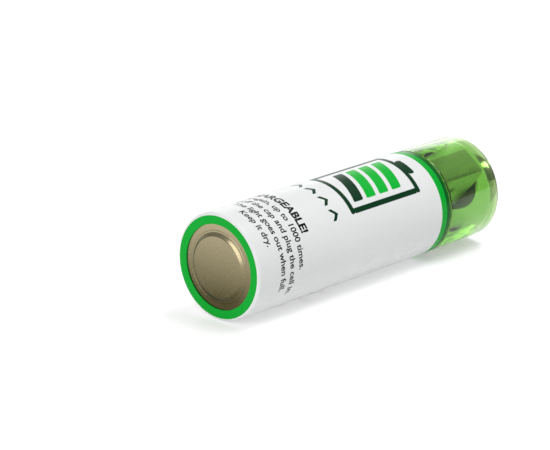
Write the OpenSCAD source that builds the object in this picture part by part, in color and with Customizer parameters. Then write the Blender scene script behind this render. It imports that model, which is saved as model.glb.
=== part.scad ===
// Rechargeable AA cell with a built-in USB plug under a translucent pull-off cap.
// The cell lies on its side: its axis is along +X, from the negative to the positive end.
// Every module below is drawn upright, with the negative end at z = 0, and laid down by lay().

/* [Whole cell] */
// Length over both contacts
cell_len = 50.5; // [50.2:0.1:50.8]
// Diameter over the printed sleeve
cell_d = 14.5; // [14.3:0.1:14.6]
// Turn of the whole cell about its own axis
cell_roll = 36; // [0:1:360]

/* [Negative end] */
// Diameter of the raised contact face
plateau_d = 8.4; // [8.0:0.1:9.0]
// Height of the raised contact face over the rest of the can's bottom
plateau_h = 0.3; // [0.25:0.05:0.35]
// Diameter of bare metal left open by the folded sleeve
window_d = 11.4; // [11.0:0.1:12.0]

/* [Sleeve] */
// Thickness of the shrink sleeve
sleeve_t = 0.15; // [0.1:0.01:0.16]
// Distance from the negative contact to the sleeve's other edge
sleeve_end = 37.6; // [37.5:0.1:37.7]

/* [Cap] */
// Outside diameter of the cap
cap_d = 14.4; // [14.2:0.1:14.4]
// Thickness of the cap's side wall
cap_wall = 0.7; // [0.6:0.05:0.75]
// Thickness of the cap's end wall
cap_end_t = 1.4; // [1.2:0.1:1.5]
// Height of the visible ring between the sleeve and the cap
ring_h = 0.8; // [0.7:0.1:0.9]

/* [Positive contact] */
// Diameter of the positive button
button_d = 5.4; // [5.0:0.1:5.5]
// How far the positive button stands out of the cap
button_h = 1.4; // [1.3:0.1:1.5]

/* [USB plug] */
// Width of the plug's metal shell
plug_w = 12; // [11.9:0.05:12.0]
// Thickness of the plug's metal shell
plug_t = 4.5; // [4.4:0.05:4.5]
// Thickness of the shell's sheet metal
plug_sheet = 0.3; // [0.25:0.05:0.3]
// Corner radius of the shell
plug_corner = 0.6; // [0.5:0.05:0.7]

/* [Wound electrodes] */
// Radius of the empty core
roll_core_r = 1.3; // [1.2:0.05:1.4]
// Thickness of the positive strip
positive_t = 0.7; // [0.6:0.02:0.7]
// Thickness of the negative strip
negative_t = 0.38; // [0.3:0.02:0.38]
// Thickness of each separator strip
separator_t = 0.12; // [0.1:0.01:0.12]
// Turns in the winding
roll_turns = 2.85; // [2.6:0.05:2.85]

/* [Hidden] */
$fn = 96;
gap = 0.02;                          // clearance between pieces that touch
play = 0.05;                         // clearance of the sliding cap

// Can
can_r = cell_d / 2 - sleeve_t - play;
can_t = 0.25;                        // wall of the deep-drawn can
can_corner = 0.5;
can_top = 33;
shoulder_w = 0.55;                   // run of the slope round the raised face
bead_z = 29.6;                       // start of the groove rolled into the can
bead_w = 1.2;
bead_depth = 0.75;
crimp_r = 0.6;
crimp_lip_r = 5.9;

// Winding
layer_pitch = positive_t + negative_t + 2 * separator_t + 4 * gap;
winding_bottom = plateau_h + can_t + 0.37;
winding_top = 28.6;
insulator_t = 0.15;

// Lid of the wound cell
lid_r = 6.3;
lid_z = 31.6;
lid_t = 0.4;
hat_r = 2.4;
hat_brim_r = 4.2;
hat_t = 0.25;
hat_top = 33.6;
vent_hole_r = 0.4;

// Charger module
washer_z = can_top + gap;
washer_t = 0.25;
module_z = can_top + 0.3;            // lowest face of the collar
board_z = 35.2;
board_t = 0.8;
board_r = 6.1;
part_top = board_z - gap;            // parts hang from the board's underside
module_r = 6.25;                     // inside of the collar

// Collar
ring_z = sleeve_end + gap;
ring_top = sleeve_end + ring_h;
cap_z = ring_top + play;
cap_inner_r = cap_d / 2 - cap_wall;
spigot_r = cap_inner_r - play;
spigot_h = 1.2;
led_y = 4.35;
led_r = 0.9;

// Cap end
cap_top = cell_len - button_h;
cap_floor = cap_top - cap_end_t;     // inner face of the end wall
cap_round = 0.7;
flange_r = 3.4;
flange_t = 0.25;
stem_r = 0.9;
rivet_r = 1.5;
rivet_h = 0.3;
leaf_t = 0.18;
leaf_r = 1.75;
leaf_w = 1.8;

// Plug
plug_tip = cap_floor - 0.3;
insert_back = board_z + board_t + gap;
tongue_z = 38.9;                     // where the solid back of the insert ends
tongue_top_y = -0.1;
pin_x = [-3.5, -1, 1, 3.5];
pin_w = 1;
pin_t = 0.12;
pin_y = tongue_top_y + pin_t / 2;    // the contacts lie on the tongue
tongue_tip = plug_tip - 0.7;

// Lays an upright piece on its side, so that the sleeve rests on z = 0.
module lay() {
    translate([-cell_len / 2, 0, cell_d / 2])
        rotate([0, 90, 0])
            rotate([0, 0, cell_roll])
                children();
}

// Points of an arc, for outlines.
function arc(x, y, r, from, to, steps = 6) =
    [for (i = [0:steps]) let (a = from + (to - from) * i / steps)
        [x + r * cos(a), y + r * sin(a)]];

// A flat ring or disc between two heights.
module washer(outer, inner, z, h) {
    translate([0, 0, z])
        difference() {
            cylinder(r = outer, h = h);
            translate([0, 0, -1])
                cylinder(r = inner, h = h + 2);
        }
}

// A flat rectangle with round corners, centred on the axis.
module round_rect(w, t, r) {
    square([w - 2 * r, t], center = true);
    square([w, t - 2 * r], center = true);
    for (x = [-1, 1], y = [-1, 1])
        translate([x * (w / 2 - r), y * (t / 2 - r)])
            circle(r = r);
}

// A bent strip: an outline in the y-z plane, drawn out along x.
module strip(outline, width, x = 0) {
    translate([x - width / 2, 0, 0])
        rotate([90, 0, 90])
            linear_extrude(width)
                polygon(outline);
}

// A box whose centre line stands at [x, y].
module block(x, y, z, size) {
    translate([x - size[0] / 2, y - size[1] / 2, z])
        cube(size);
}

// ---- Outside of the cell ----

// Printed sleeve, folded over the edge of the can's bottom.
module label_sleeve() {
    outer = cell_d / 2;
    inner = outer - sleeve_t;
    fold = plateau_h - gap;          // the fold lies on the can's bottom
    corner = can_corner - 0.05;
    color("white")
        rotate_extrude()
            polygon(concat(
                [[window_d / 2, fold - sleeve_t]],
                arc(outer - corner, fold - sleeve_t + corner, corner, -90, 0),
                [[outer, sleeve_end], [inner, sleeve_end]],
                arc(inner - corner + sleeve_t, fold + corner - sleeve_t, corner - sleeve_t, 0, -90),
                [[window_d / 2, fold]]));
}

// Groove rolled into the can under its lid; e is the depth under the outer face.
function bead(e) =
    [for (i = [0:10]) [can_r - e - bead_depth * (0.5 - 0.5 * cos(36 * i)), bead_z + bead_w * i / 10]];

// Half section of the can, from its centre to its crimped lip; e as above.
function can_line(e) = concat(
    [[0, e], [plateau_d / 2 - 0.1, e]],
    [[plateau_d / 2 + 0.08, 0.04 + e], [plateau_d / 2 + shoulder_w - 0.14, plateau_h - 0.05 + e]],
    [[plateau_d / 2 + shoulder_w, plateau_h + e]],
    arc(can_r - can_corner, plateau_h + can_corner, can_corner - e, -90, 0),
    bead(e),
    arc(can_r - crimp_r, can_top - crimp_r, crimp_r - e, 0, 90),
    [[crimp_lip_r, can_top - e]]);

function reversed(points) = [for (i = [len(points) - 1:-1:0]) points[i]];

// Deep-drawn steel can; its raised bottom is the negative contact.
module cell_can() {
    color("tan")
        rotate_extrude()
            polygon(concat(can_line(0), reversed(can_line(can_t))));
}

// ---- Wound cell ----

// A strip wound round the core. depth is where it starts within one layer. from and to count
// steps of the winding, so that all strips bend at the same angles and stay apart.
module wound(depth, t, z, h, from, to) {
    angles = [for (i = [from:to]) i * winding_step];
    function at(a, d) = (roll_core_r + d + layer_pitch * a / 360) * [cos(a), sin(a)];
    translate([0, 0, z])
        linear_extrude(h)
            polygon(concat([for (a = angles) at(a, depth)],
                           [for (a = reversed(angles)) at(a, depth + t)]));
}

positive_depth = separator_t + gap;
second_separator_depth = positive_depth + positive_t + gap;
negative_depth = second_separator_depth + separator_t + gap;
winding_step = 15;
winding_end = floor(roll_turns * 360 / winding_step);

module negative_electrode() {
    color("dimgray")
        wound(negative_depth, negative_t, winding_bottom, winding_top - winding_bottom,
              0, winding_end);
}

module positive_electrode() {
    color("darkslategray")
        wound(positive_depth, positive_t, winding_bottom, winding_top - winding_bottom,
              2, winding_end - 2);
}

module separators() {
    overhang = 0.35;                 // the separator stands past the electrodes
    color("ivory")
        for (depth = [0, second_separator_depth])
            wound(depth, separator_t, winding_bottom, winding_top - winding_bottom + overhang,
                  0, winding_end + 1);
}

module bottom_insulator() {
    color("whitesmoke")
        washer(6.5, 1.6, winding_bottom - gap - insulator_t, insulator_t);
}

tab_y = 3.4;
tab_t = 0.15;
tab_w = 2.4;

module top_insulator() {
    slot = [tab_w + 0.4, 0.8, 1];
    color("whitesmoke")
        difference() {
            washer(6.5, roll_core_r, 29.05, insulator_t);
            block(0, tab_y + tab_t / 2, 28.6, slot);
        }
}

// Strip that carries the current from the positive winding up to the lid.
module positive_tab() {
    top = lid_z - gap;
    color("silver")
        strip([[tab_y, winding_top + gap], [tab_y + tab_t, winding_top + gap],
               [tab_y + tab_t, top], [-1.2, top], [-1.2, top - tab_t], [tab_y, top - tab_t]],
              tab_w);
}

// Nylon ring that seals and insulates the lid inside the crimp.
module sealing_gasket() {
    outer = can_r - can_t - play;
    low = bead_z + bead_w + 0.1;
    high = can_top - can_t - play;
    slot_r = lid_r + gap;
    color("lightgray")
        rotate_extrude()
            polygon([[5.6, low], [outer, low], [outer, can_top - crimp_r - 0.05],
                     [outer - 0.3, high], [crimp_lip_r + 0.05, high],
                     [crimp_lip_r + 0.05, lid_z + lid_t + play],
                     [slot_r, lid_z + lid_t + play], [slot_r, lid_z - play],
                     [5.6, lid_z - play]]);
}

module cell_lid() {
    color("silver")
        washer(lid_r, 0.8, lid_z, lid_t);
}

// Rubber block that lets gas out past the lid's hole.
module vent_plug() {
    base = lid_z + lid_t + gap;
    color("black")
        translate([0, 0, base])
            cylinder(r = 1.5, h = hat_top - hat_t - gap - base);
}

// Stamped hat welded to the lid, with three vent holes in its side.
module cell_terminal() {
    base = lid_z + lid_t + gap;
    side_z = (base + hat_top) / 2;
    color("silver")
        difference() {
            rotate_extrude()
                polygon([[hat_r - hat_t, base], [hat_brim_r, base], [hat_brim_r, base + hat_t],
                         [hat_r, base + hat_t], [hat_r, hat_top - 0.2], [hat_r - 0.2, hat_top],
                         [0, hat_top], [0, hat_top - hat_t], [hat_r - hat_t, hat_top - hat_t]]);
            for (a = [30:120:270])
                rotate([0, 0, a])
                    translate([hat_r - 1, 0, side_z])
                        rotate([0, 90, 0])
                            cylinder(r = vent_hole_r, h = 2);
        }
}

// ---- Charger module ----

lead_w = 1.6;
lead_t = 0.15;
lead_y = -6;

// Fibre washer over the crimp, notched for the negative lead.
module crimp_washer() {
    color("seagreen")
        difference() {
            washer(7, 4.6, washer_z, washer_t);
            block(0, -6.6, washer_z - 1, [lead_w + 0.4, 2.2, 2]);
        }
}

// Nickel strip from the hat up to the board.
module positive_lead() {
    low = hat_top + gap;
    high = part_top;
    color("silver")
        rotate([0, 0, -90])
            strip([[-1.2, low], [1.6, low], [3, high - lead_t], [4.6, high - lead_t], [4.6, high],
                   [2.9, high], [1.5, low + lead_t], [-1.2, low + lead_t]],
                  2.4);
}

// Nickel strip from the can's crimp up to the board.
module negative_lead() {
    low = washer_z;
    high = part_top;
    inner = lead_y + lead_t;
    color("silver")
        strip([[-6.6, low], [inner, low], [inner, high - lead_t], [-4.9, high - lead_t],
               [-4.9, high], [lead_y, high], [lead_y, low + lead_t], [-6.6, low + lead_t]],
              lead_w);
}

// Ring that holds the board against the collar's shoulder.
module spacer_ring() {
    low = module_z;
    color("ivory")
        difference() {
            washer(board_r, 5.3, low, part_top - low);
            block(0, -6, low - 1, [lead_w + 0.6, 3, 4]);
        }
}

module charger_board() {
    color("darkgreen")
        difference() {
            translate([0, 0, board_z])
                cylinder(r = board_r, h = board_t);
            for (x = pin_x)
                translate([x, pin_y, board_z - 1])
                    cylinder(r = 0.65, h = board_t + 2);
        }
}

// A packaged chip hung under the board, standing on its legs. feet lists where they stand,
// counted from the chip's middle.
module packaged(x, y, body, feet, foot) {
    standoff = 0.1;
    block(x, y, part_top - standoff - body[2], body);
    for (f = feet)
        block(x + f[0], y + f[1], part_top - foot[2], foot);
}

module charger_chip() {
    pitch = 0.65;
    feet = [for (side = [-1, 1], i = [-1.5:1.5]) [side * 1.28, i * pitch]];
    color("black")
        packaged(-3.3, 0, [2.2, 3, 0.8], feet, [0.34, 0.3, 0.4]);
}

module power_inductor() {
    color("dimgray")
        block(1.5, 3.1, part_top - 1.1, [2.4, 2.4, 1.1]);
}

module power_transistor() {
    feet = [[-0.7, -0.85], [0.7, -0.85], [0, 0.85]];
    color("black")
        packaged(2.4, -2.9, [2, 1.3, 0.85], feet, [0.4, 0.38, 0.3]);
}

// Small two-ended chips, hung from the board.
module chips(places, size) {
    for (p = places)
        block(p[0], p[1], part_top - size[2], size);
}

module chip_capacitors() {
    color("burlywood")
        chips([[-2.7, -3.2], [-2.4, 3.2], [-1.2, 3.6]], [0.8, 1.6, 0.8]);
}

module chip_resistors() {
    color("darkslategray")
        chips([[-1.6, -3], [-0.6, -3], [-3.6, 2.8]], [0.5, 1, 0.35]);
}

// Charge light on the board's upper side; its dome shows in the collar's face.
module charge_led() {
    base = board_z + board_t + gap;
    dome_z = ring_top + spigot_h - 0.1 - led_r;
    color("orange")
        translate([0, led_y, 0]) {
            translate([0, 0, base])
                cylinder(r = led_r, h = dome_z - base);
            translate([0, 0, dome_z])
                intersection() {
                    sphere(r = led_r);
                    cylinder(r = led_r, h = led_r);
                }
        }
}

// Moulded collar: it holds the board and the plug, and the cap slides on its spigot.
module collar() {
    shoulder_z = board_z + board_t + gap;
    roof_z = 36.9;
    edge = 0.12;
    ring_r = cap_d / 2;
    skirt_r = can_r;
    color("darkgreen")
        difference() {
            rotate_extrude()
                polygon([[0, roof_z], [5.4, roof_z], [5.4, shoulder_z], [module_r, shoulder_z],
                         [module_r, module_z], [skirt_r, module_z], [skirt_r, ring_z],
                         [ring_r - edge, ring_z], [ring_r, ring_z + edge],
                         [ring_r, ring_top - edge], [ring_r - edge, ring_top],
                         [spigot_r, ring_top], [spigot_r, ring_top + spigot_h - 0.2],
                         [spigot_r - 0.2, ring_top + spigot_h], [0, ring_top + spigot_h]]);
            translate([0, 0, shoulder_z - 0.5])
                linear_extrude(6)
                    round_rect(plug_w + 2 * gap, plug_t + 2 * gap, plug_corner);
            translate([0, led_y, roof_z - 1])
                cylinder(r = led_r + play, h = 5);
        }
}

// ---- USB plug ----

// Folded steel shell with two latch windows in each wide face.
module usb_shell() {
    window = [2.5, 10, 2];
    window_z = plug_tip - 5.2 - window[2] / 2;
    color("silver")
        difference() {
            translate([0, 0, insert_back])
                linear_extrude(plug_tip - insert_back)
                    difference() {
                        round_rect(plug_w, plug_t, plug_corner);
                        round_rect(plug_w - 2 * plug_sheet, plug_t - 2 * plug_sheet,
                                   plug_corner - plug_sheet);
                    }
            for (x = [-2.8, 2.8])
                block(x, 0, window_z, window);
        }
}

// Moulded insert: a solid back in the shell and the tongue under the contacts.
module usb_insert() {
    w = plug_w - 2 * plug_sheet - 2 * gap;
    t = plug_t - 2 * plug_sheet - 2 * gap;
    color("gray")
        difference() {
            translate([0, 0, insert_back])
                linear_extrude(tongue_tip - insert_back)
                    round_rect(w, t, plug_corner - plug_sheet);
            translate([-w, tongue_top_y, tongue_z])
                cube([2 * w, t, tongue_tip]);
            for (x = pin_x)
                block(x, pin_y, insert_back - 1, [pin_w + 2 * gap, pin_t + 2 * gap, 12]);
        }
}

// Four contact strips; their tails pass through the board.
module usb_contacts() {
    color("gold")
        for (x = pin_x)
            block(x, pin_y, board_z, [pin_w, pin_t, tongue_tip - 0.6 - board_z]);
}

// ---- Cap ----

// Clear green cup with a counterbored hole for the positive button.
module cap_shell() {
    outer = cap_d / 2;
    lip = 0.15;
    inner_round = 0.4;
    color("limegreen", 0.5)
        rotate_extrude()
            polygon(concat(
                [[cap_inner_r + lip, cap_z], [outer - lip, cap_z], [outer, cap_z + lip]],
                arc(outer - cap_round, cap_top - cap_round, cap_round, 0, 90, 8),
                [[flange_r + gap, cap_top], [flange_r + gap, cap_top - flange_t - gap],
                 [stem_r + gap, cap_top - flange_t - gap], [stem_r + gap, cap_floor]],
                arc(cap_inner_r - inner_round, cap_floor - inner_round, inner_round, 90, 0),
                [[cap_inner_r, cap_z + lip]]));
}

// Turned contact: button, flange, and a stem peened over the leaf.
module positive_button() {
    edge = 0.3;
    r = button_d / 2;
    leaf_under = cap_floor - gap - leaf_t - gap;
    rivet_low = leaf_under - rivet_h;
    color("lightgray")
        rotate_extrude()
            polygon(concat(
                [[0, rivet_low], [rivet_r - 0.2, rivet_low], [rivet_r, rivet_low + 0.2],
                 [rivet_r, leaf_under], [stem_r, leaf_under], [stem_r, cap_top - flange_t],
                 [flange_r, cap_top - flange_t], [flange_r, cap_top],
                 [r + 0.1, cap_top], [r, cap_top + 0.1]],
                arc(r - edge, cell_len - edge, edge, 0, 90, 5),
                [[0, cell_len]]));
}

// Springy strip under the end wall; its two feet press on the plug's shell.
module contact_leaf() {
    top = cap_floor - gap;
    foot = plug_tip + gap;
    reach = plug_t / 2;
    color("goldenrod")
        difference() {
            union() {
                translate([0, 0, top - leaf_t])
                    cylinder(r = leaf_r, h = leaf_t);
                for (side = [0, 180])
                    rotate([0, 0, side])
                        strip([[1.2, top - leaf_t], [1.55, top - leaf_t], [reach - 0.35, foot],
                               [reach, foot], [reach, foot + 0.15], [reach - 0.3, foot + 0.15],
                               [1.7, top], [1.2, top]], leaf_w);
            }
            translate([0, 0, top - 1])
                cylinder(r = stem_r + gap, h = 2);
        }
}

lay() label_sleeve();
lay() cell_can();
lay() bottom_insulator();
lay() negative_electrode();
lay() positive_electrode();
lay() separators();
lay() positive_tab();
lay() top_insulator();
lay() sealing_gasket();
lay() cell_lid();
lay() vent_plug();
lay() cell_terminal();
lay() crimp_washer();
lay() positive_lead();
lay() negative_lead();
lay() spacer_ring();
lay() charger_board();
lay() charger_chip();
lay() power_inductor();
lay() power_transistor();
lay() chip_capacitors();
lay() chip_resistors();
lay() charge_led();
lay() collar();
lay() usb_shell();
lay() usb_insert();
lay() usb_contacts();
lay() cap_shell();
lay() positive_button();
lay() contact_leaf();
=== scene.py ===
"""Looks of a rechargeable AA cell with a charging plug under its clear cap.

The cell lies along +X, its negative end towards -X. Lengths are in metres and MM is one
millimetre. A section is a list of (x, radius) points round the cell's axis, and a print is
drawn flat as (along, around) points in millimetres: along from the negative contact, around
from the side that faces -Y, upwards.
"""
import math

import bmesh
import bpy
from mathutils import Matrix, Vector


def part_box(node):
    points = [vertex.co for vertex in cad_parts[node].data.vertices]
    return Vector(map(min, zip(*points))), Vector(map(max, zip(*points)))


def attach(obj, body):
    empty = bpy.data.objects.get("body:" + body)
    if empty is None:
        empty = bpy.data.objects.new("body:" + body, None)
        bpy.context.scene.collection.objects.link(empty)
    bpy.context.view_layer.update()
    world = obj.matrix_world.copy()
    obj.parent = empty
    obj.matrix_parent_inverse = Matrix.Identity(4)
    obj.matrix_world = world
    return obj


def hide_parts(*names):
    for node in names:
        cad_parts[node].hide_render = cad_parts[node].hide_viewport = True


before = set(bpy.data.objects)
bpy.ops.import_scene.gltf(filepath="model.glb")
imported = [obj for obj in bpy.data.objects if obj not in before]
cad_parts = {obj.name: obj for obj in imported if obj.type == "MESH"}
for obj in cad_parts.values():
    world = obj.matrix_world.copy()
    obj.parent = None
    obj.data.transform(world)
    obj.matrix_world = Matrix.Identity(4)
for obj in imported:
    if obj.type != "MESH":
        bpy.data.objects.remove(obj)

MM = 0.001
SEGMENTS = 192                   # sides of a turned solid
SMOOTH_ANGLE = math.radians(30)  # edges sharper than this stay crisp, or are rounded by bevel
ON_AXIS = 1e-9                   # a smaller radius is one point on the axis
MERGE_DISTANCE = 0.0005 * MM     # CAD corners nearer than this are one corner
FLAT_ANGLE = math.radians(0.5)   # CAD faces that meet at less than this are one face
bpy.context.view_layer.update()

sleeve_low, sleeve_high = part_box("label_sleeve")
can_low, can_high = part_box("cell_can")
cap_low, cap_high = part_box("cap_shell")
button_low, button_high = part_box("positive_button")

AXIS_Z = (sleeve_low.z + sleeve_high.z) / 2
FACE_X = can_low.x                       # plane of the negative contact
SLEEVE_R = (sleeve_high.z - sleeve_low.z) / 2
CAN_R = (can_high.z - can_low.z) / 2
CAP_R = (cap_high.z - cap_low.z) / 2


# ---- Mesh helpers ----

def arc(x, r, radius, start, end, steps=10):
    """Section points on an arc round (x, r). Angles are in degrees from +X."""
    angles = [math.radians(start + (end - start) * i / steps) for i in range(steps + 1)]
    return [(x + radius * math.cos(a), r + radius * math.sin(a)) for a in angles]


def finish_mesh(bm, name, materials):
    """Turns a bmesh into a linked object with outward normals and crisp edges."""
    bmesh.ops.recalc_face_normals(bm, faces=bm.faces)
    for face in bm.faces:
        face.smooth = True
    mesh = bpy.data.meshes.new(name)
    bm.to_mesh(mesh)
    bm.free()
    mesh.set_sharp_from_angle(angle=SMOOTH_ANGLE)
    for material in materials:
        mesh.materials.append(material)
    piece = bpy.data.objects.new(name, mesh)
    bpy.context.scene.collection.objects.link(piece)
    return piece


def lathe(name, section, materials, paint=None):
    """A closed solid turned round the cell's axis. paint gives an edge's material number."""
    bm = bmesh.new()
    turn = [2 * math.pi * k / SEGMENTS for k in range(SEGMENTS)]
    rings = []
    for x, r in section:
        if r < ON_AXIS:
            rings.append([bm.verts.new((x, 0, AXIS_Z))])
        else:
            rings.append([bm.verts.new((x, r * math.cos(a), AXIS_Z + r * math.sin(a))) for a in turn])
    for i, ring in enumerate(rings):
        j = (i + 1) % len(rings)
        other = rings[j]
        if len(ring) == 1 and len(other) == 1:
            continue
        for k in range(SEGMENTS):
            m = (k + 1) % SEGMENTS
            corners = [ring[k], ring[m]] if len(ring) > 1 else [ring[0]]
            corners += [other[m], other[k]] if len(other) > 1 else [other[0]]
            face = bm.faces.new(corners)
            face.material_index = paint(section[i], section[j]) if paint else 0
    return finish_mesh(bm, name, materials)


def place(piece, body, slot, *nodes):
    """Puts a finished piece on its body, in place of CAD nodes."""
    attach(piece, body)
    if nodes:
        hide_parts(*nodes)
    return piece


def bevel(piece, width):
    """Rounds a piece's sharp edges a little."""
    modifier = piece.modifiers.new("edges", "BEVEL")
    modifier.width = width
    modifier.segments = 2
    modifier.limit_method = "ANGLE"
    modifier.angle_limit = SMOOTH_ANGLE
    modifier.harden_normals = True


def islands(bm):
    """The separate solids of a bmesh, each as a list of faces."""
    left = set(bm.faces)
    found = []
    while left:
        stack = [left.pop()]
        solid = []
        while stack:
            face = stack.pop()
            solid.append(face)
            for edge in face.edges:
                for near in edge.link_faces:
                    if near in left:
                        left.remove(near)
                        stack.append(near)
        found.append(solid)
    return found


def refined(node, body, slot, materials, edge, paint=None):
    """A CAD node with its flat faces joined, its edges rounded and its own materials.

    paint takes a solid's faces and returns the material number of that solid.
    """
    bm = bmesh.new()
    bm.from_mesh(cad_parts[node].data)
    bmesh.ops.remove_doubles(bm, verts=bm.verts, dist=MERGE_DISTANCE)
    bmesh.ops.dissolve_limit(bm, angle_limit=FLAT_ANGLE, verts=bm.verts, edges=bm.edges)
    for face in bm.faces:
        face.material_index = 0
    if paint:
        for solid in islands(bm):
            number = paint(solid)
            for face in solid:
                face.material_index = number
    piece = finish_mesh(bm, node + ".piece", materials)
    bevel(piece, edge)
    return place(piece, body, slot, node)


def solid_size(solid):
    """Longest side of a solid's box."""
    points = [v.co for face in solid for v in face.verts]
    return max(max(p[i] for p in points) - min(p[i] for p in points) for i in range(3))


# ---- Materials ----

PRINT_GLOSS = {"Coat Weight": 0.02, "Coat Roughness": 0.08, "Specular IOR Level": 0.07}
METAL = {"Metallic": 1.0}
CLEAR = {"Transmission Weight": 1.0, "IOR": 1.2, "Coat Weight": 0.8, "Coat Roughness": 0.02,
         "Coat IOR": 1.5}
SPECKLE = 0.15                   # how far noise shifts a colour that runs along an axis
CAP_END = 1.4 * MM               # thickness of the cap's end wall
CAP_RIM = 0.55 * MM              # the rim's tint starts this far from the cap's outer end
CAP_MOUTH = (0.3 * MM, 0.1 * MM)     # from the cap's mouth to where its pale tint, painted light, ends and is full
DEPTH_TINT = (0.54, 0.69, 0.25)  # what white light turns towards as it crosses the plastic
DEPTH_DENSITY = 380

def mix_colour(nodes, links, factor, low, high):
    """A colour that runs from low to high with factor."""
    mix = nodes.new("ShaderNodeMix")
    mix.data_type = "RGBA"
    mix.inputs["A"].default_value = (*low, 1)
    mix.inputs["B"].default_value = (*high, 1)
    links.new(factor, mix.inputs["Factor"])
    return mix.outputs["Result"]


def ranged(nodes, links, value, low, high, source=(0.3, 0.7)):
    """A value spread from its source range over low to high, and held inside them."""
    node = nodes.new("ShaderNodeMapRange")
    node.inputs["From Min"].default_value = source[0]
    node.inputs["From Max"].default_value = source[1]
    node.inputs["To Min"].default_value = low
    node.inputs["To Max"].default_value = high
    links.new(value, node.inputs["Value"])
    return node.outputs["Result"]


def noise(nodes, links, grain, stretch=(1, 1, 1), detail=4):
    """Noise in the object's own space. grain is the size of its features."""
    coordinates = nodes.new("ShaderNodeTexCoord")
    mapping = nodes.new("ShaderNodeMapping")
    mapping.inputs["Scale"].default_value = stretch
    links.new(coordinates.outputs["Object"], mapping.inputs["Vector"])
    texture = nodes.new("ShaderNodeTexNoise")
    texture.inputs["Scale"].default_value = 1 / grain
    texture.inputs["Detail"].default_value = detail
    links.new(mapping.outputs["Vector"], texture.inputs["Vector"])
    return texture.outputs["Fac"]


def run_along(nodes, links, axis, start, end):
    """0 to 1 as the object's own X, Y or Z runs from start to end."""
    coordinates = nodes.new("ShaderNodeTexCoord")
    split = nodes.new("ShaderNodeSeparateXYZ")
    links.new(coordinates.outputs["Object"], split.inputs["Vector"])
    return ranged(nodes, links, split.outputs[axis], 0, 1, (start, end))


def surface(name, colour, shade, roughness, grain, relief=0.002 * MM, patch=2 * MM,
            stretch=(1, 1, 1), sockets=None, run=None):
    """A material whose colour drifts to shade over patches, with fine grain in gloss and relief.

    run is an axis with its start and end: the colour then runs to a painted shade along it, speckled.
    """
    material = bpy.data.materials.new(name)
    material.use_nodes = True
    nodes, links = material.node_tree.nodes, material.node_tree.links
    shader = nodes["Principled BSDF"]
    for socket, value in (sockets or {}).items():
        shader.inputs[socket].default_value = value
    drift = ranged(nodes, links, noise(nodes, links, patch, stretch), 0, 1)
    if run:
        speckle = nodes.new("ShaderNodeMath")
        speckle.operation = "MULTIPLY_ADD"
        speckle.use_clamp = True
        speckle.inputs[1].default_value = SPECKLE
        links.new(drift, speckle.inputs[0])
        links.new(run_along(nodes, links, *run), speckle.inputs[2])
        drift = speckle.outputs["Value"]
    links.new(mix_colour(nodes, links, drift, colour, shade), shader.inputs["Base Color"])
    fine = noise(nodes, links, grain, stretch)
    links.new(ranged(nodes, links, fine, *roughness), shader.inputs["Roughness"])
    bump = nodes.new("ShaderNodeBump")
    bump.inputs["Strength"].default_value = 1
    bump.inputs["Distance"].default_value = relief
    links.new(fine, bump.inputs["Height"])
    links.new(bump.outputs["Normal"], shader.inputs["Normal"])
    return material


def film(name, colour, shade):
    """Printed film with a soft sheen and the faint ripple of shrunk plastic."""
    return surface(name, colour, shade, (0.24, 0.34), 1.8 * MM, 0.0005 * MM, 9 * MM,
                   stretch=(0.4, 1, 1), sockets=PRINT_GLOSS)


def clear_plastic(name, side, end, rim):
    """Clear green plastic: tints for the side, for the end wall and mouth, and for the round rim.
    The rim is a deeper green, and the paler tint of the end wall and mouth is painted light.

    It gets greener with depth. The IOR is lower than a real plastic's, because parts of the wall
    came out black at 1.33 and 1.5. A clear coat gives the gloss.
    """
    material = bpy.data.materials.new(name)
    material.use_nodes = True
    nodes, links = material.node_tree.nodes, material.node_tree.links
    shader = nodes["Principled BSDF"]
    for socket, value in CLEAR.items():
        shader.inputs[socket].default_value = value
    edge, bend = cap_high.x - CAP_END, cap_high.x - CAP_RIM
    in_end = run_along(nodes, links, "X", edge - 0.05 * MM, edge + 0.15 * MM)
    in_rim = run_along(nodes, links, "X", bend, bend + 0.25 * MM)
    in_mouth = run_along(nodes, links, "X", *(cap_low.x + inset for inset in CAP_MOUTH))
    # This mask marks the end wall and the mouth, whose paler tint is painted light.
    pale = nodes.new("ShaderNodeMath")
    pale.operation = "MAXIMUM"
    links.new(in_end, pale.inputs[0])
    links.new(in_mouth, pale.inputs[1])
    tint_and_painted_light = mix_colour(nodes, links, pale.outputs["Value"], side, end)
    links.new(mix_colour(nodes, links, in_rim, end, rim), tint_and_painted_light.node.inputs["B"])
    links.new(tint_and_painted_light, shader.inputs["Base Color"])
    volume = nodes.new("ShaderNodeVolumeAbsorption")
    volume.inputs["Color"].default_value = (*DEPTH_TINT, 1)
    volume.inputs["Density"].default_value = DEPTH_DENSITY
    links.new(volume.outputs["Volume"], nodes["Material Output"].inputs["Volume"])
    links.new(ranged(nodes, links, noise(nodes, links, 0.9 * MM), 0.0, 0.03),
              shader.inputs["Roughness"])
    bump = nodes.new("ShaderNodeBump")
    bump.inputs["Distance"].default_value = 0.003 * MM
    links.new(noise(nodes, links, 3 * MM, (0.3, 1, 1), 2), bump.inputs["Height"])
    links.new(bump.outputs["Normal"], shader.inputs["Normal"])
    return material


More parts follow.
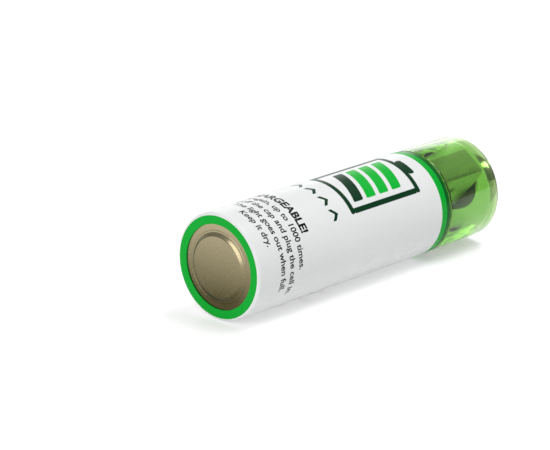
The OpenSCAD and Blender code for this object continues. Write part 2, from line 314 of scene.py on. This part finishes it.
white_film = film("film_white", (0.62, 0.63, 0.63), (0.61, 0.62, 0.62))
green_film = film("film_green", (0.0006, 0.32, 0.025), (0.0004, 0.30, 0.022))
dark_ink = film("ink_dark_green", (0.001, 0.028, 0.009), (0.001, 0.034, 0.011))
green_ink = film("ink_green", (0.0008, 0.36, 0.028), (0.0006, 0.34, 0.025))
black_ink = film("ink_black", (0.006, 0.006, 0.006), (0.010, 0.010, 0.010))
# The can's colour runs along Z as a painted reflection: lighter at the top, darker towards the
# bottom.
can_nickel = surface("can_nickel", (0.40, 0.345, 0.215), (0.085, 0.070, 0.030), (0.20, 0.30),
                     0.1 * MM, 0.001 * MM, 0.2 * MM, sockets=METAL,
                     run=("Z", AXIS_Z + 0.8 * CAN_R, AXIS_Z - 0.7 * CAN_R))
bright_nickel = surface("bright_nickel", (0.66, 0.64, 0.58), (0.58, 0.56, 0.50), (0.14, 0.26),
                        0.2 * MM, 0.0008 * MM, 1.2 * MM, sockets=METAL)
strip_nickel = surface("strip_nickel", (0.66, 0.64, 0.58), (0.55, 0.53, 0.48), (0.22, 0.38),
                       0.25 * MM, 0.001 * MM, 1.0 * MM, (0.15, 1, 1), METAL)
plug_steel = surface("plug_steel", (0.72, 0.71, 0.67), (0.67, 0.66, 0.62), (0.26, 0.34),
                     0.12 * MM, 0.0002 * MM, 1.5 * MM, (0.3, 1, 1), METAL)
contact_gold = surface("contact_gold", (0.82, 0.58, 0.22), (0.74, 0.50, 0.18), (0.15, 0.28),
                       0.3 * MM, 0.0008 * MM, 1.0 * MM, (0.1, 1, 1), METAL)
leaf_bronze = surface("leaf_bronze", (0.66, 0.42, 0.20), (0.56, 0.34, 0.16), (0.22, 0.36),
                      0.2 * MM, 0.001 * MM, 1.0 * MM, (1, 1, 1), METAL)
tin = surface("tin", (0.70, 0.70, 0.68), (0.58, 0.58, 0.57), (0.28, 0.45), 0.1 * MM,
              0.002 * MM, 0.5 * MM, sockets=METAL)
collar_green = surface("collar_green", (0.001, 0.095, 0.012), (0.001, 0.080, 0.010), (0.10, 0.18),
                       0.8 * MM, 0.001 * MM, sockets={"Specular IOR Level": 0.15})
insert_plastic = surface("insert_plastic", (0.72, 0.73, 0.70), (0.66, 0.67, 0.64), (0.35, 0.5),
                         0.15 * MM, 0.002 * MM)
nylon = surface("nylon", (0.72, 0.70, 0.62), (0.66, 0.64, 0.56), (0.4, 0.55), 0.2 * MM,
                sockets={"Subsurface Weight": 0.2, "Subsurface Radius": (0.001, 0.0009, 0.0007)})
fibre = surface("insulator_fibre", (0.74, 0.71, 0.62), (0.64, 0.61, 0.52), (0.7, 0.9),
                0.08 * MM, 0.006 * MM, 0.5 * MM)
green_fibre = surface("washer_fibre", (0.05, 0.24, 0.12), (0.04, 0.18, 0.09), (0.6, 0.85),
                      0.08 * MM, 0.006 * MM, 0.4 * MM)
felt = surface("separator_felt", (0.82, 0.80, 0.73), (0.70, 0.68, 0.60), (0.8, 1.0), 0.06 * MM,
               0.012 * MM, 0.3 * MM, (0.5, 1, 1))
negative_mass = surface("negative_mass", (0.045, 0.045, 0.05), (0.09, 0.09, 0.095), (0.6, 0.85),
                        0.05 * MM, 0.010 * MM, 0.4 * MM, sockets={"Metallic": 0.3})
positive_mass = surface("positive_mass", (0.020, 0.028, 0.024), (0.05, 0.06, 0.052), (0.7, 0.95),
                        0.09 * MM, 0.014 * MM, 0.4 * MM)
rubber = surface("vent_rubber", (0.018, 0.018, 0.019), (0.03, 0.03, 0.03), (0.6, 0.8), 0.1 * MM,
                 0.004 * MM)
laminate = surface("board_laminate", (0.012, 0.115, 0.045), (0.008, 0.085, 0.033), (0.25, 0.4),
                   0.25 * MM, 0.003 * MM, 1 * MM, sockets={"Coat Weight": 0.3})
epoxy = surface("chip_epoxy", (0.016, 0.016, 0.018), (0.026, 0.026, 0.028), (0.5, 0.7),
                0.05 * MM, 0.004 * MM, 0.4 * MM)
ferrite = surface("ferrite", (0.06, 0.06, 0.063), (0.10, 0.10, 0.10), (0.45, 0.65), 0.08 * MM,
                  0.006 * MM, 0.4 * MM)
ceramic = surface("capacitor_ceramic", (0.36, 0.25, 0.14), (0.30, 0.20, 0.11), (0.4, 0.55),
                  0.08 * MM, 0.003 * MM, 0.4 * MM)
led_epoxy = surface("led_epoxy", (0.85, 0.80, 0.52), (0.80, 0.73, 0.42), (0.04, 0.10), 0.5 * MM,
                    0.001 * MM, 1 * MM, sockets={"Transmission Weight": 0.6, "IOR": 1.53})
# The second tint, near white, is painted light on the end wall and mouth; the third is the rim's
# deeper green.
cap_plastic = clear_plastic("cap_plastic", (0.50, 0.78, 0.30), (1.0, 1.0, 0.80),
                            (0.30, 0.58, 0.20))


# ---- Sleeve and can ----

GREEN_EDGE_R = 6.85 * MM         # the near green print ends about here, as the fold starts
WINDOW_R = 5.7 * MM              # the sleeve leaves the negative contact open within this
SLEEVE_T = 0.15 * MM             # thickness of the film
CORNER = 0.45 * MM               # radius of the fold over the can's bottom
GREEN_BAND = 1.12 * MM           # width of the far green print


def make_sleeve():
    """Shrink sleeve, folded over the can's bottom, with its green ends printed on."""
    near, far = sleeve_low.x, sleeve_high.x
    band = far - GREEN_BAND
    outer = arc(near + CORNER, SLEEVE_R - CORNER, CORNER, 180, 90, 12)
    inner = arc(near + CORNER, SLEEVE_R - CORNER, CORNER - SLEEVE_T, 90, 180, 10)
    lip = SLEEVE_T * 0.3
    section = [(near + SLEEVE_T, WINDOW_R), (near + lip, WINDOW_R), (near, WINDOW_R + lip)]
    section += [(near, GREEN_EDGE_R - 0.05 * MM)] + outer
    section += [(band, SLEEVE_R), (far - lip, SLEEVE_R), (far, SLEEVE_R - lip)]
    section += [(far, SLEEVE_R - SLEEVE_T)] + inner

    def paint(a, b):
        r, x = (a[1] + b[1]) / 2, (a[0] + b[0]) / 2
        return 1 if r < GREEN_EDGE_R or x > band else 0

    return place(lathe("sleeve", section, [white_film, green_film], paint), "cell",
                 "sleeve_film", "label_sleeve")


def ease(t):
    """A step from 0 to 1 with a straight middle and soft ends, each a share of the whole."""
    soft = 0.25
    steepest = 1 / (1 - soft)
    if t < soft:
        return steepest * t * t / (2 * soft)
    if t > 1 - soft:
        return 1 - steepest * (1 - t) ** 2 / (2 * soft)
    return steepest * (t - soft / 2)


def make_can():
    """Deep-drawn can with its raised contact face, rolled groove and crimped lip."""
    wall, height, flat_r, run = 0.25 * MM, 0.3 * MM, 4.05 * MM, 0.6 * MM
    corner, depth, width = 0.5 * MM, 0.75 * MM, 1.2 * MM
    crimp, lip_r, groove_x = 0.6 * MM, 5.9 * MM, FACE_X + 29.6 * MM
    fine_depth, steps = 0.03 * MM, 16

    def line(inset):
        """The can's outer line, from the axis to the lip, moved in by inset."""
        dish = [(FACE_X + inset + height * ease(i / steps), flat_r + run * i / steps)
                for i in range(steps + 1)]
        low = FACE_X + height + inset
        fine_ring = [(low, 4.80 * MM), (low + fine_depth, 4.84 * MM),
                     (low + fine_depth, 4.88 * MM), (low, 4.92 * MM)]
        edge = arc(FACE_X + height + corner, CAN_R - corner, corner - inset, 180, 90)
        groove = [(groove_x + width * i / steps,
                   CAN_R - inset - depth * (0.5 - 0.5 * math.cos(2 * math.pi * i / steps)))
                  for i in range(steps + 1)]
        lip = arc(can_high.x - crimp, CAN_R - crimp, crimp - inset, 90, 0)
        end = [(can_high.x - inset, lip_r)]
        return [(FACE_X + inset, 0)] + dish + fine_ring + edge + groove + lip + end

    section = line(0) + line(wall)[::-1]
    return place(lathe("can", section, [can_nickel]), "cell", "can_nickel", "cell_can")


# ---- Prints on the sleeve ----

INK_OUT = 0.006 * MM             # how far a print stands out of the sleeve
INK_IN = 0.03 * MM               # how far it reaches into it
SAME_POINT = 1e-4                # flat corners nearer than this, in millimetres, are one
WRAP_STEP = 3                    # degrees between the cuts that let a print bend
CAPITALS = 0.73                  # height of the font's capitals for a text size of 1


def printed(name, shapes, materials):
    """Flat shapes wrapped round the sleeve as thin solids. A shape is (points, material number)."""
    bm = bmesh.new()
    for points, number in shapes:
        face = bm.faces.new([bm.verts.new((x, s, 0)) for x, s in points])
        face.material_index = number
    bmesh.ops.remove_doubles(bm, verts=bm.verts, dist=SAME_POINT)
    step = math.radians(WRAP_STEP) * SLEEVE_R / MM
    low = min(v.co.y for v in bm.verts)
    high = max(v.co.y for v in bm.verts)
    for i in range(math.ceil(low / step), math.floor(high / step) + 1):
        everything = bm.verts[:] + bm.edges[:] + bm.faces[:]
        bmesh.ops.bisect_plane(bm, geom=everything, plane_co=(0, i * step, 0), plane_no=(0, 1, 0),
                               dist=1e-5)
    grown = bmesh.ops.extrude_face_region(bm, geom=bm.faces[:], use_keep_orig=True)
    tops = {v for v in grown["geom"] if isinstance(v, bmesh.types.BMVert)}
    for v in bm.verts:
        r = SLEEVE_R + (INK_OUT if v in tops else -INK_IN)
        angle = v.co.y * MM / SLEEVE_R
        v.co = (FACE_X + v.co.x * MM, -r * math.cos(angle), AXIS_Z + r * math.sin(angle))
    piece = finish_mesh(bm, name, materials)
    return place(piece, "cell", "sleeve_film")


def around(degrees):
    """Arc length on the sleeve, in millimetres, of an angle up from the -Y side."""
    return math.radians(degrees) * SLEEVE_R / MM


def bar(x0, x1, s0, s1, slant, corner):
    """A bar with round corners. slant shifts its upper end along the cell."""
    points = []
    for cx, cs, start in ((x1, s1, 0), (x0, s1, 90), (x0, s0, 180), (x1, s0, 270)):
        inx, ins = (-1 if cx == x1 else 1), (-1 if cs == s1 else 1)
        for k in range(4):
            a = math.radians(start + 30 * k)
            px = cx + inx * corner + corner * math.cos(a)
            ps = cs + ins * corner + corner * math.sin(a)
            points.append((px + slant * (ps - s0) / (s1 - s0), ps))
    return points


def text_line(words, x, end, height, weight):
    """A line of general care text that reads down round the sleeve and stops at angle end.

    x is its foot along the cell, height that of its capitals, and weight thickens its strokes.
    """
    curve = bpy.data.curves.new("line", "FONT")
    curve.body = words
    curve.size = height / CAPITALS
    curve.offset = weight
    curve.resolution_u = 4
    mesh = bpy.data.meshes.new_from_object(bpy.data.objects.new("line", curve))
    length = max(v.co.x for v in mesh.vertices)
    corners = [(x + v.co.y, around(end) + length - v.co.x) for v in mesh.vertices]
    shapes = [([corners[k] for k in face.vertices], 0) for face in mesh.polygons]
    bpy.data.meshes.remove(mesh)
    bpy.data.curves.remove(curve)
    return shapes


def make_small_print():
    """Five lines near the negative end and six on the far side of the sleeve."""
    large, small, smaller = 1.3, 1.0, 0.95
    bold, thin = 0.07, 0.028
    shapes = text_line("RECHARGEABLE!", 9.3, 31, large, bold)
    shapes += text_line("Use it again, up to 1000 times.", 7.7, -4.5, small, thin)
    shapes += text_line("Pull off the cap and plug the cell in.", 6.0, -31, small, thin)
    shapes += text_line("The light goes out when full.", 4.3, -23, small, thin)
    shapes += text_line("Keep it dry.", 2.65, 29, small, thin)
    lines = ("Nickel metal hydride cell", "Size AA, 1.2 volts", "Charge from any 5 volt plug",
             "Do not take it apart", "Do not heat or crush it", "Recycle it after use")
    first_x, pitch, end = 17, 1.8, 188
    for row, words in enumerate(lines):
        shapes += text_line(words, first_x - pitch * row, end, smaller, thin)
    return printed("small_print", shapes, [black_ink])


def make_gauge():
    """A charge gauge: a round-cornered frame with a nub at its end and four slanting bars."""
    x0, x1, s0, s1, line = 19.2, 33.2, around(33), around(103), 0.75
    nub_length, nub_inset, rounded, square = 1.1, 2.9, 0.3, 0.01
    shapes = [
        (bar(x0, x0 + line, s0, s1, 0, rounded), 0),
        (bar(x1 - line, x1, s0, s1, 0, rounded), 0),
        (bar(x0 + line, x1 - line, s0, s0 + line, 0, square), 0),
        (bar(x0 + line, x1 - line, s1 - line, s1, 0, square), 0),
        (bar(x1, x1 + nub_length, s0 + nub_inset, s1 - nub_inset, 0, rounded), 0),
    ]
    slant, space, count = 1.5, 0.75, 4
    first, last = x0 + line + space, x1 - line - space - slant
    width = (last - first - space * (count - 1)) / count
    for i in range(count):
        low = first + i * (width + space)
        box = bar(low, low + width, s0 + line + space, s1 - line - space, slant, 0.2)
        shapes.append((box, 0 if i < 1 else 1))
    return printed("charge_gauge", shapes, [dark_ink, green_ink])


def make_chevrons():
    """A row of chevrons that point to the positive end."""
    shapes = []
    tip, back, half, thick = 16.9, 15.5, 0.85, 0.62
    for angle in (96, 77, 58, 39):
        s = around(angle)
        shapes.append(([(back, s + half), (back + thick, s + half), (tip, s),
                        (back + thick, s - half), (back, s - half), (tip - thick, s)], 0))
    return printed("chevrons", shapes, [dark_ink])


def make_polarity_marks():
    """A plus near the positive end, a minus near the negative end and three slanting bars.

    All are on the hidden side.
    """
    s, arm, half = around(180), 1.7, 0.32
    plus, minus = 32.5, 3.4
    first, last, pitch, reach = 23, 23.9, 1.5, 3
    shapes = [
        (bar(plus - arm, plus + arm, s - half, s + half, 0, 0.1), 0),
        (bar(plus - half, plus + half, s + half, s + arm, 0, 0.02), 0),
        (bar(plus - half, plus + half, s - arm, s - half, 0, 0.02), 0),
        (bar(minus - half, minus + half, s - arm, s + arm, 0, 0.1), 0),
    ]
    for i in range(3):
        box = bar(first + i * pitch, last + i * pitch, s - reach, s + reach, 1, 0.2)
        shapes.append((box, 1))
    return printed("polarity_marks", shapes, [dark_ink, green_ink])


# ---- Cap ----

def make_cap():
    """Clear cup: side wall, thick end wall and the counterbored hole for the contact."""
    wall, end_wall, round_out, round_in = 0.7 * MM, CAP_END, 0.7 * MM, 0.4 * MM
    lip, flange_r, flange_t, stem_r = 0.15 * MM, 3.42 * MM, 0.27 * MM, 0.92 * MM
    rim, top = cap_low.x, cap_high.x
    floor_x, inner = top - end_wall, CAP_R - wall
    section = arc(rim + lip, inner + lip, lip, 180, 270, 4)[::-1]
    section += arc(rim + lip, CAP_R - lip, lip, 180, 90, 4)
    section += arc(top - round_out, CAP_R - round_out, round_out, 90, 0, 14)
    section += [(top, flange_r), (top - flange_t, flange_r), (top - flange_t, stem_r),
                (floor_x, stem_r)]
    section += arc(floor_x - round_in, inner - round_in, round_in, 0, 90, 8)
    return place(lathe("cap", section, [cap_plastic]), "cap", "cap_plastic", "cap_shell")


def make_button():
    """Positive contact: button, flange, stem and the peened end over the leaf."""
    top, tip, low = cap_high.x, button_high.x, button_low.x
    flange_r, flange_t, stem_r, r, edge = 3.4 * MM, 0.25 * MM, 0.9 * MM, 2.7 * MM, 0.3 * MM
    leaf_under = cap_high.x - CAP_END - 0.22 * MM
    rivet_r, peened, peened_middle = 1.5 * MM, 0.2 * MM, 0.06 * MM
    fillet, fillet_middle = 0.1 * MM, 0.03 * MM
    section = [(low, 0), (low, rivet_r - peened), (low + peened_middle, rivet_r - peened_middle),
               (low + peened, rivet_r), (leaf_under, rivet_r), (leaf_under, stem_r),
               (top - flange_t, stem_r), (top - flange_t, flange_r), (top, flange_r),
               (top, r + fillet), (top + fillet_middle, r + fillet_middle), (top + fillet, r)]
    section += arc(tip - edge, r - edge, edge, 90, 0) + [(tip, 0)]
    return place(lathe("button", section, [bright_nickel]), "cap", "button_nickel",
                 "positive_button")


# ---- Inside and under the cap ----

LEG_SIZE = 0.6 * MM              # a chip's solids smaller than this are its legs


def legs_are_tin(solid):
    """Material 1 for a chip's legs and 0 for its body."""
    return 1 if solid_size(solid) < LEG_SIZE else 0


def make_inner_pieces():
    """Every other CAD node, refined. Each row is node, slot, materials and edge rounding."""
    fine, soft = 0.02 * MM, 0.05 * MM
    rows = (
        ("bottom_insulator", "insulator_film", [fibre], fine),
        ("negative_electrode", "negative_mass", [negative_mass], fine),
        ("positive_electrode", "positive_mass", [positive_mass], fine),
        ("separators", "separator_felt", [felt], fine),
        ("positive_tab", "nickel_strip", [strip_nickel], fine),
        ("top_insulator", "insulator_film", [fibre], fine),
        ("sealing_gasket", "nylon", [nylon], fine),
        ("cell_lid", "lid_steel", [strip_nickel], soft),
        ("vent_plug", "vent_rubber", [rubber], 2 * soft),
        ("cell_terminal", "lid_steel", [bright_nickel], soft),
        ("crimp_washer", "washer_fibre", [green_fibre], fine),
        ("positive_lead", "nickel_strip", [strip_nickel], fine),
        ("negative_lead", "nickel_strip", [strip_nickel], fine),
        ("spacer_ring", "nylon", [nylon], soft),
        ("charger_board", "board_laminate", [laminate], fine),
        ("power_inductor", "ferrite", [ferrite], 2 * soft),
        ("chip_capacitors", "capacitor_ceramic", [ceramic], soft),
        ("chip_resistors", "resistor_ceramic", [epoxy], fine),
        ("charge_led", "led_lens", [led_epoxy], fine),
        ("collar", "collar_plastic", [collar_green], soft),
        ("usb_shell", "plug_steel", [plug_steel], soft),
        ("usb_insert", "insert_plastic", [insert_plastic], soft),
        ("usb_contacts", "contact_gold", [contact_gold], fine),
    )
    for node, slot, materials, edge in rows:
        refined(node, "cell", slot, materials, edge)
    for node in ("charger_chip", "power_transistor"):
        refined(node, "cell", "chip_epoxy", [epoxy, tin], soft, legs_are_tin)
    refined("contact_leaf", "cap", "leaf_bronze", [leaf_bronze], fine)


# ---- Stage ----

def make_floor():
    """Plain pale floor with a faint light of its own, so that it stays white."""
    bpy.ops.mesh.primitive_plane_add(size=8, location=(0, 0, 0))
    floor = bpy.context.object
    floor.name = "floor"
    glow = {"Emission Color": (1, 1, 1, 1), "Emission Strength": 0.38, "Specular IOR Level": 0.1}
    material = surface("floor_sheet", (0.68, 0.68, 0.68), (0.67, 0.67, 0.67), (0.7, 0.8), 2 * MM,
                       0.001 * MM, 40 * MM, sockets=glow)
    floor.data.materials.append(material)


def make_world():
    """Soft studio surroundings, with a brighter backdrop low down beyond the cell."""
    sky_low, sky_high, backdrop_light = 0.30, 0.55, 0.7
    side_fade, top_fade = (0.45, 0.7), (0.45, 0.62)
    camera_looks = (0.73, 0.68, 0)
    world = bpy.data.worlds.new("studio")
    bpy.context.scene.world = world
    world.use_nodes = True
    nodes, links = world.node_tree.nodes, world.node_tree.links
    coordinates = nodes.new("ShaderNodeTexCoord")
    split = nodes.new("ShaderNodeSeparateXYZ")
    links.new(coordinates.outputs["Generated"], split.inputs["Vector"])
    sky = ranged(nodes, links, split.outputs["Z"], sky_low, sky_high, (0.0, 1.0))
    away = nodes.new("ShaderNodeVectorMath")
    away.operation = "DOT_PRODUCT"
    away.inputs[1].default_value = camera_looks
    links.new(coordinates.outputs["Generated"], away.inputs[0])
    beyond = ranged(nodes, links, away.outputs["Value"], 0, backdrop_light, side_fade)
    low = ranged(nodes, links, split.outputs["Z"], 1, 0, top_fade)
    backdrop = nodes.new("ShaderNodeMath")
    backdrop.operation = "MULTIPLY_ADD"
    links.new(beyond, backdrop.inputs[0])
    links.new(low, backdrop.inputs[1])
    links.new(sky, backdrop.inputs[2])
    links.new(backdrop.outputs["Value"], nodes["Background"].inputs["Strength"])
    nodes["Background"].inputs["Color"].default_value = (1, 1, 1, 1)


def make_lamp(name, position, size, watts):
    """A soft box that faces the middle of the cell."""
    data = bpy.data.lights.new(name, "AREA")
    data.shape = "RECTANGLE"
    data.size, data.size_y = size
    data.energy = watts
    lamp = bpy.data.objects.new(name, data)
    lamp.location = position
    target = Vector((0, 0, AXIS_Z))
    lamp.rotation_euler = (target - lamp.location).to_track_quat("-Z", "Y").to_euler()
    bpy.context.scene.collection.objects.link(lamp)


def make_camera():
    """A long lens, level, looking down along the cell from its negative end.

    It aims a little right of and above the middle of the negative contact, in sleeve radii.
    """
    azimuth, elevation, distance = math.radians(-47.25), math.radians(17.75), 0.352
    aim_right, aim_up = 1.02, 0.753
    back = Vector((math.sin(azimuth) * math.cos(elevation),
                   -math.cos(azimuth) * math.cos(elevation), math.sin(elevation)))
    right = Vector((math.cos(azimuth), math.sin(azimuth), 0))
    up = back.cross(right)
    face = Vector((FACE_X, 0, AXIS_Z))
    aim = face + right * (aim_right * SLEEVE_R) + up * (aim_up * SLEEVE_R)
    data = bpy.data.cameras.new("camera")
    data.lens = 180
    data.clip_start = 0.01
    camera = bpy.data.objects.new("camera", data)
    camera.matrix_world = Matrix.Translation(aim + back * distance) @ Matrix(
        (right, up, back)).transposed().to_4x4()
    bpy.context.scene.collection.objects.link(camera)
    bpy.context.scene.camera = camera


make_camera()
make_sleeve()
make_can()
make_small_print()
make_gauge()
make_chevrons()
make_polarity_marks()
make_cap()
make_button()
make_inner_pieces()
make_floor()
make_world()
make_lamp("overhead", (0.12, -0.08, 0.35), (0.26, 0.16), 1.0)
make_lamp("front_left", (-0.38, -0.08, 0.19), (0.32, 0.36), 1.1)
make_lamp("back", (0.36, 0.34, 0.14), (0.34, 0.20), 0.24)
bpy.context.scene.view_settings.view_transform = "Standard"

bpy.context.view_layer.update()
